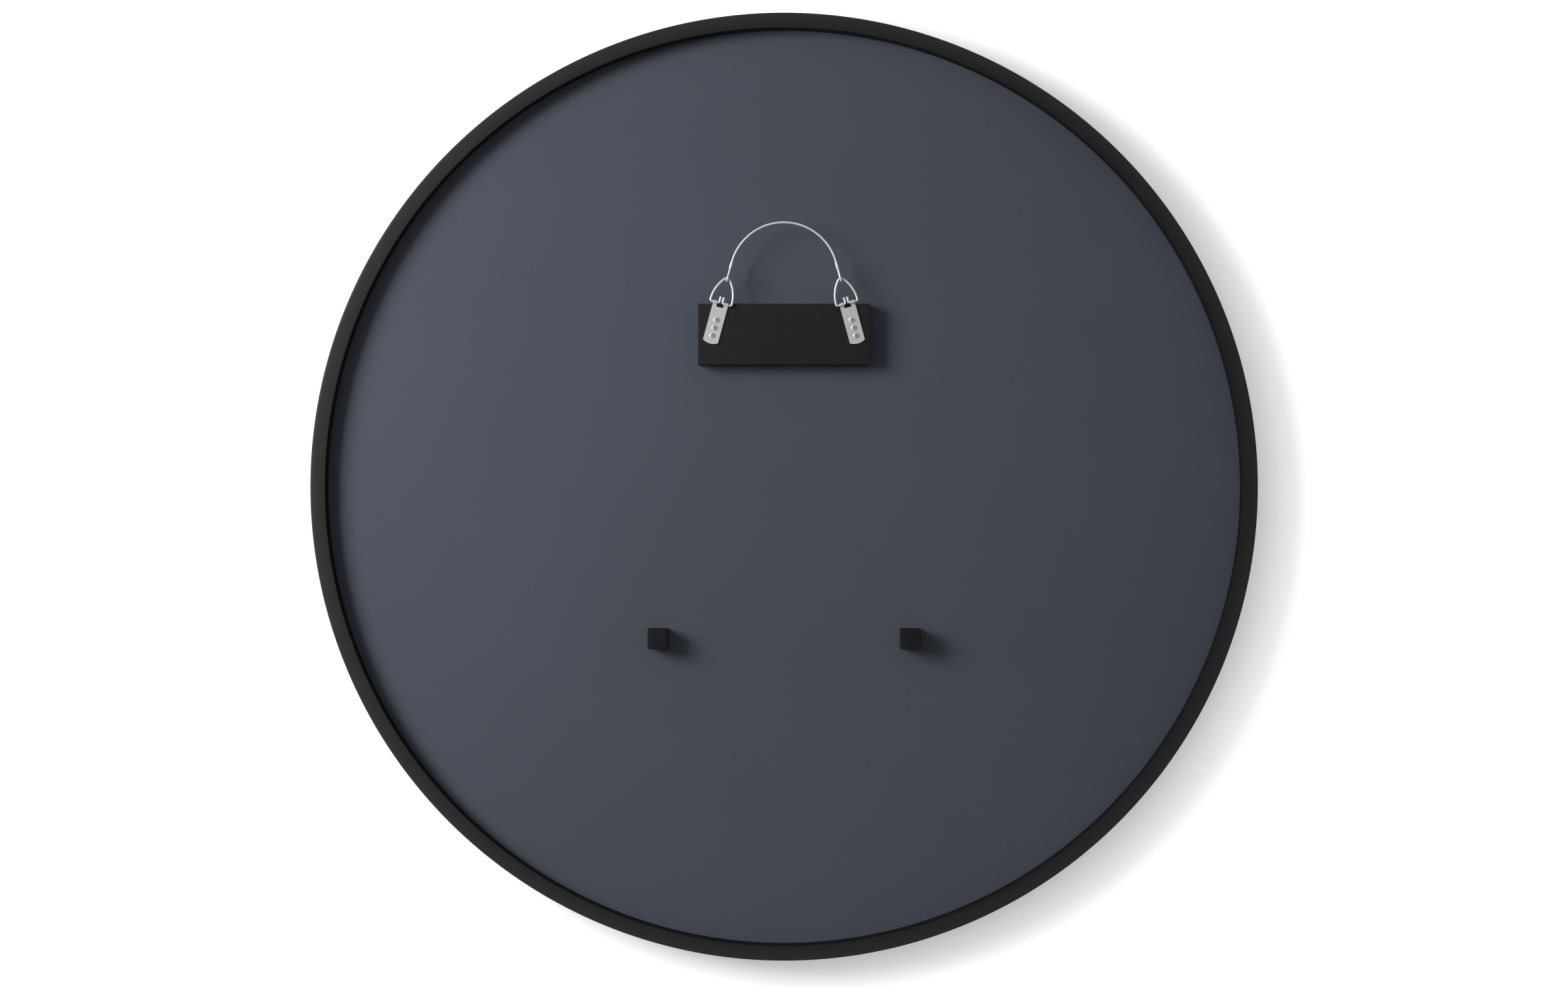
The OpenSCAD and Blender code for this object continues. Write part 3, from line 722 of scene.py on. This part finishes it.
def makeScrewGrid(place, up, turn):
    # the profile turned once round. The dome is lowered where |x| or |y| is less than the cross's half
    # width, and the shank's radius swells with a wave that climbs one pitch a turn.
    profile, domeRows = screwProfile()
    a = np.linspace(0, 2 * math.pi, screwRows["columns"], endpoint=False)
    r, z = profile[:, :1] + 0 * a, profile[:, 1:] + 0 * a
    length = screw["length"]
    threaded = smoothStep(-z, *screw["threadStart"]) * smoothStep(-z, length, length - screw["threadEnd"])
    wave = np.abs(((z / screw["threadPitch"] + a / (2 * math.pi)) % 1) - 0.5) * 2
    r = r - threaded * screw["thread"] * smoothStep(wave, *screw["crest"]) * (r > screw["core"])
    x, y = r * np.cos(a), r * np.sin(a)
    half, end = screw["crossWidth"], screw["crossLength"]
    thin = [1 - smoothStep(np.abs(w), half - screw["crossSoft"], half) for w in (x, y)]
    long = [1 - smoothStep(np.abs(w), end - screw["crossEnd"], end) for w in (y, x)]
    bars = np.maximum(thin[0] * long[0], thin[1] * long[1])
    onDome = np.arange(len(profile))[:, None] < domeRows
    rise = 1 - screw["crossRise"] * smoothStep(r, *screw["riseOver"])
    z = z - onDome * bars * screw["crossDepth"] * rise
    t = math.radians(turn)
    local = np.stack([x * math.cos(t) - y * math.sin(t), x * math.sin(t) + y * math.cos(t) + up, z], 2)
    around = np.linspace(0, 2 * math.pi * screw["headRadius"], screwRows["columns"] + 1)
    grid = outward(gridOf(placed(place, local), around, lengthAlong(profile), closed=True))
    return grid, (onDome * bars).ravel()


def makeScrews(side):
    # three screws down the strap, standing on its outer face
    place = hangers[side].copy()
    place[:3, 3] -= place[:3, 2] * strap["boreRadius"]
    ups = -screw["first"] - screw["pitch"] * np.arange(screw["count"])
    grids = [makeScrewGrid(place, up, turn) for up, turn in zip(ups, screw["turns"][side])]
    recessShadeMask = np.concatenate([mark for _, mark in grids])
    addPiece("strapScrews" + side.capitalize(), joined([g for g, _ in grids]), finishes["screwSteel"],
             "mirror", ["strap_screws_" + side], sharp=50, recessShadeMask=recessShadeMask)


ring = dict(wire=1.0, width=19.9, height=23.2, tip=3.4, corner=1.3, endGap=3.0, endBend=1.5, endHeight=5.8,
            chamfer=0.22, sides=24, spacing=0.5)


def makeRing(side):
    # a round wire bent through a corner, a long arc, the tip's arc and the same again, its ends turned up
    half, rise = ring["width"] / 2, ring["height"] - ring["tip"] - ring["corner"]
    sideRadius = (half ** 2 + rise ** 2 - ring["tip"] ** 2) / (2 * (half - ring["tip"]))
    turn = math.degrees(math.atan(rise / (sideRadius - half)))
    base = half - ring["corner"] - ring["endGap"] / 2 - ring["endBend"]
    legs = [(ring["endHeight"] - ring["endBend"], 0, 0), (ring["endBend"], -90, 0), (base, 0, 0),
            (ring["corner"], -90, 0), (sideRadius, -turn, 0)]
    steps = legs + [(ring["tip"], 2 * turn - 180, 0)] + legs[::-1]
    start = startAt(hangers[side], -ring["endGap"] / 2, ring["endHeight"], 0, -90)
    frames = bentWire(start, steps, ring["spacing"])
    grid = tube(frames, lambda along, a: ring["wire"], ring["sides"], ring["chamfer"])
    addPiece("ring" + side.capitalize(), grid, finishes["brightWire"], "d_ring_" + side,
             ["ring_" + side], sharp=50)


cable = dict(radius=0.95, eyeLength=9.1, flare=4.0, eyeFit=0.58, strandGap=0.1, ferruleLength=6.0, strands=12,
             lay=15.0, groove=0.03, sides=72, spacing=0.4, chamfer=0.12, length=0.2046)
strandAside = cable["radius"] + cable["strandGap"] / 2  # from a ferrule's middle to each strand's


def cableFrames():
    # from the tail in the left ferrule down round the left ring and up again, over the arch between the
    # hangers, and the same steps again at the right ring
    left, right = hangers["left"][:3, 3], hangers["right"][:3, 3]
    tilt = math.asin(abs(hangers["left"][2, 0]))
    flare, eyeLength, sleeve = cable["flare"], cable["eyeLength"], cable["ferruleLength"]
    eye = ring["wire"] + cable["eyeFit"] + cable["radius"]
    reach = math.hypot(strandAside + flare, eyeLength)
    turn = math.degrees(math.asin((flare + eye) / reach) - math.atan((strandAside + flare) / eyeLength))
    run = math.sqrt(reach ** 2 - (flare + eye) ** 2)
    top = ring["height"] + eyeLength + sleeve
    archRadius = (np.linalg.norm(left - right) / 2 - top * math.sin(tilt)) / math.cos(tilt)
    half = [(sleeve, 0, 0), (flare, 0, -turn), (run, 0, 0)]
    end = half + [(eye, 0, 180 + 2 * turn)] + half[::-1]
    steps = end + [(archRadius, 180 - 2 * math.degrees(tilt), 0)] + end
    return bentWire(startAt(hangers["left"], 0, top, -strandAside, -90), steps, cable["spacing"])


def strandedRadius(along, a):
    # the outline of twisted strands: the radius loses up to the groove's share of itself between
    # neighbours, as 1 - |cos(phase)|, and the phase turns once round in the lay's length
    phase = cable["strands"] / 2 * (a - 2 * math.pi * along / cable["lay"])
    return cable["radius"] * (1 - cable["groove"] * (1 - np.abs(np.cos(phase))))


ferrule = dict(halfWidth=1.4, chamfer=0.28, corner=0.3, crimp=0.08, crimps=(1.35, 3.0, 4.65), crimpWidth=0.55,
               crimpPower=4, sides=48, rows=41, girth=4 * math.pi)


def makeFerrule(side):
    # an oval sleeve: half circles about both strands, whose outline pulls in at three crimps and at its ends.
    # A crimp's depth falls with exp(-(distance / width) ^ power).
    low, length = ring["height"] + cable["eyeLength"], cable["ferruleLength"]
    wide, c, rows, half = ferrule["halfWidth"], ferrule["chamfer"], ferrule["rows"], ferrule["sides"] // 2
    corner = c * ferrule["corner"]
    y = np.concatenate([[0, 0, corner], np.linspace(c, length - c, rows), length - np.array([corner, 0, 0])])
    inset = np.concatenate([[wide, c, corner], np.zeros(rows), [corner, c, wide]])
    away = (y[:, None] - np.array(ferrule["crimps"])) / ferrule["crimpWidth"]
    nip = np.exp(-away ** ferrule["crimpPower"]).sum(1) * ferrule["crimp"]
    a = np.concatenate([np.linspace(0, math.pi, half), np.linspace(math.pi, 2 * math.pi, half)])
    middle = np.where(np.arange(len(a)) < half, strandAside, -strandAside)
    r = (wide - inset)[:, None] - nip[:, None] * np.cos(a) ** 2
    flat = np.where(inset >= wide, 0.0, 1.0)[:, None]
    local = np.stack([r * np.cos(a), (low + y)[:, None] + 0 * a, r * np.sin(a) + flat * middle], 2)
    around = np.linspace(0, ferrule["girth"], len(a) + 1)
    grid = outward(gridOf(placed(hangers[side], local), around, y, closed=True))
    return addPiece("ferrule" + side.capitalize(), grid, finishes["ferruleAluminium"], "cable",
                    ["ferrule_" + side], sharp=50)


def makeCable():
    # a tube along the whole wire
    frames = cableFrames()
    grid = tube(frames, strandedRadius, cable["sides"], cable["chamfer"])
    piece = addPiece("hangingCable", grid, finishes["cableSteel"], "cable", ["hanging_cable"],
                     sharp=70)


for side in hangers:
    makeStrap(side)
    makeScrews(side)
    makeRing(side)
    makeFerrule(side)
makeCable()
print("hanging hardware made")


# the CAD nodes that stay get their finishes
keptNodes = {
    "mirror_glass": "silveredGlass",
    "bonding_tape": "foam",
    "backing_board": "slatePaint",
    "block_screws": "screwSteel",
    "bumper_pad_left": "foam",
    "bumper_pad_right": "foam",
}
for name, finish in keptNodes.items():
    slots = nodes[name].data.materials
    slots.clear()
    slots.append(finishes[finish])
print("CAD nodes finished:", len(keptNodes))


# the sheet's glow climbs from its low end at the mirror's edge to its high end, a painted shadow round the
# mirror
stage = dict(gap=5.0, sheetHalf=2600.0, floorHalf=5000.0, floorZ=-790.0, rough=0.9, sheetWhite=0.8,
             sheetGlowAndPaintedShadow=(0.345, 0.71), paintedShadowWidth=52.0, floorWhite=0.15, floorGlow=0.6)
lamp = dict(place=(1.7, 1.16, 0.38), size=0.95, power=52.3)
front = dict(place=(-1.4, -2.2, 0.9), size=1.6, power=40.0)
# room lights the object, and low and high are what gloss sees below and above the horizon in front of the
# mirror. It fades to behindCamera over the range towardsWall of the direction's y.
sky = dict(room=0.38, low=0.45, high=1.0, horizon=(-0.4, 0.4), behindCamera=0.1, lampGlow=(0.7, 1.0),
           towardsWall=(-0.1, 0.6))


def brightRays(tree):
    # 1 for camera, glossy and transmission rays and 0 for the rest
    rays = addNode(tree, "ShaderNodeLightPath")
    both = mathNode(tree, "MAXIMUM", rays.outputs["Is Camera Ray"], rays.outputs["Is Glossy Ray"])
    return mathNode(tree, "MAXIMUM", both, rays.outputs["Is Transmission Ray"]), rays


def stageMaterial(name, white, glow, width=0.0):
    # a pale matt surface, seen from its front alone, that camera, glossy and transmission rays see with a
    # glow added. With a width, glow is a range that is climbed over that width beyond the mirror's edge,
    # which paints a soft shadow round the mirror.
    material = bpy.data.materials.new(name)
    material.use_nodes = True
    material.cycles.emission_sampling = "NONE"
    tree = material.node_tree
    shader, output = tree.nodes["Principled BSDF"], tree.nodes["Material Output"]
    shader.inputs["Base Color"].default_value = (white, white, white, 1)
    shader.inputs["Roughness"].default_value = stage["rough"]
    shader.inputs["Specular IOR Level"].default_value = 0.0
    shader.inputs["Emission Color"].default_value = (1, 1, 1, 1)
    bright, _ = brightRays(tree)
    if width:
        away = addNode(tree, "ShaderNodeVectorMath", operation="DISTANCE")
        link(tree, addNode(tree, "ShaderNodeTexCoord").outputs["Object"], away.inputs[0])
        away.inputs[1].default_value = (centreX / 1000, (rimLow[1] - stage["gap"]) / 1000, centreZ / 1000)
        edge = rimRadius / 1000
        # painted shadow: the glow is lowest at the mirror's edge
        glow = remap(tree, away.outputs["Value"], (edge, edge + width / 1000), glow)
    link(tree, mathNode(tree, "MULTIPLY", bright, glow), shader.inputs["Emission Strength"])
    mix, clear = addNode(tree, "ShaderNodeMixShader"), addNode(tree, "ShaderNodeBsdfTransparent")
    link(tree, addNode(tree, "ShaderNodeNewGeometry").outputs["Backfacing"], mix.inputs[0])
    link(tree, shader.outputs[0], mix.inputs[1])
    link(tree, clear.outputs[0], mix.inputs[2])
    link(tree, mix.outputs[0], output.inputs["Surface"])
    return material


def addSheet(name, corners, material):
    # one flat face through four corners, in millimetres
    mesh = bpy.data.meshes.new(name)
    mesh.from_pydata((np.array(corners, float) / 1000).tolist(), [], [(0, 1, 2, 3)])
    mesh.materials.append(material)
    piece = bpy.data.objects.new(name, mesh)
    scene.collection.objects.link(piece)


def makeStage():
    # a sheet just in front of the mirror that faces its back, and a floor below the picture
    y, z, half, wide = rimLow[1] - stage["gap"], stage["floorZ"], stage["sheetHalf"], stage["floorHalf"]
    sheet = stageMaterial("stage sheet", stage["sheetWhite"], stage["sheetGlowAndPaintedShadow"], stage["paintedShadowWidth"])
    floor = stageMaterial("stage floor", stage["floorWhite"], stage["floorGlow"])
    addSheet("backdrop", [(half, y, z), (-half, y, z), (-half, y, half), (half, y, half)], sheet)
    addSheet("floor", [(-wide, -wide, z), (wide, -wide, z), (wide, wide, z), (-wide, wide, z)], floor)


def addLamp(name, setting):
    # a square soft light that points at the middle of the mirror
    data = bpy.data.lights.new(name, "AREA")
    data.size, data.energy = setting["size"], setting["power"]
    piece = bpy.data.objects.new(name, data)
    piece.location = setting["place"]
    aim = Vector((0, 0, centreZ / 1000)) - Vector(setting["place"])
    piece.rotation_euler = aim.to_track_quat("-Z", "Y").to_euler()
    scene.collection.objects.link(piece)


def makeSky():
    # white for the camera and a dim even light for the rest. Gloss sees a soft vertical gradient that
    # darkens behind the camera, apart from a glow round the key lamp.
    world = bpy.data.worlds.new("room")
    scene.world = world
    world.use_nodes = True
    world.cycles.sampling_method = "NONE"
    tree = world.node_tree
    bright, rays = brightRays(tree)
    direction = addNode(tree, "ShaderNodeTexCoord")
    parts = addNode(tree, "ShaderNodeSeparateXYZ")
    link(tree, direction.outputs["Generated"], parts.inputs[0])
    upright = remap(tree, parts.outputs[2], sky["horizon"], (sky["low"], sky["high"]))
    glow = addNode(tree, "ShaderNodeVectorMath", operation="DOT_PRODUCT")
    link(tree, direction.outputs["Generated"], glow.inputs[0])
    glow.inputs[1].default_value = Vector(lamp["place"]).normalized()
    nearLamp = remap(tree, glow.outputs["Value"], sky["lampGlow"], unit)
    behind = mathNode(tree, "MAXIMUM", nearLamp, sky["behindCamera"])
    away = remap(tree, parts.outputs[1], sky["towardsWall"], unit)
    gloss = mathNode(tree, "ADD", mathNode(tree, "MULTIPLY", upright, mathNode(tree, "SUBTRACT", 1.0, away)),
                     mathNode(tree, "MULTIPLY", behind, away))
    seen = mathNode(tree, "MAXIMUM", gloss, rays.outputs["Is Camera Ray"])
    dim = mathNode(tree, "MULTIPLY", mathNode(tree, "SUBTRACT", 1.0, bright), sky["room"])
    strength = mathNode(tree, "ADD", mathNode(tree, "MULTIPLY", seen, bright), dim)
    link(tree, strength, tree.nodes["Background"].inputs["Strength"])
    tree.nodes["Background"].inputs["Color"].default_value = (1, 1, 1, 1)


makeStage()
addLamp("keyLamp", lamp)
addLamp("frontLamp", front)
makeSky()
scene.view_settings.view_transform = "Standard"
print("stage and light set")
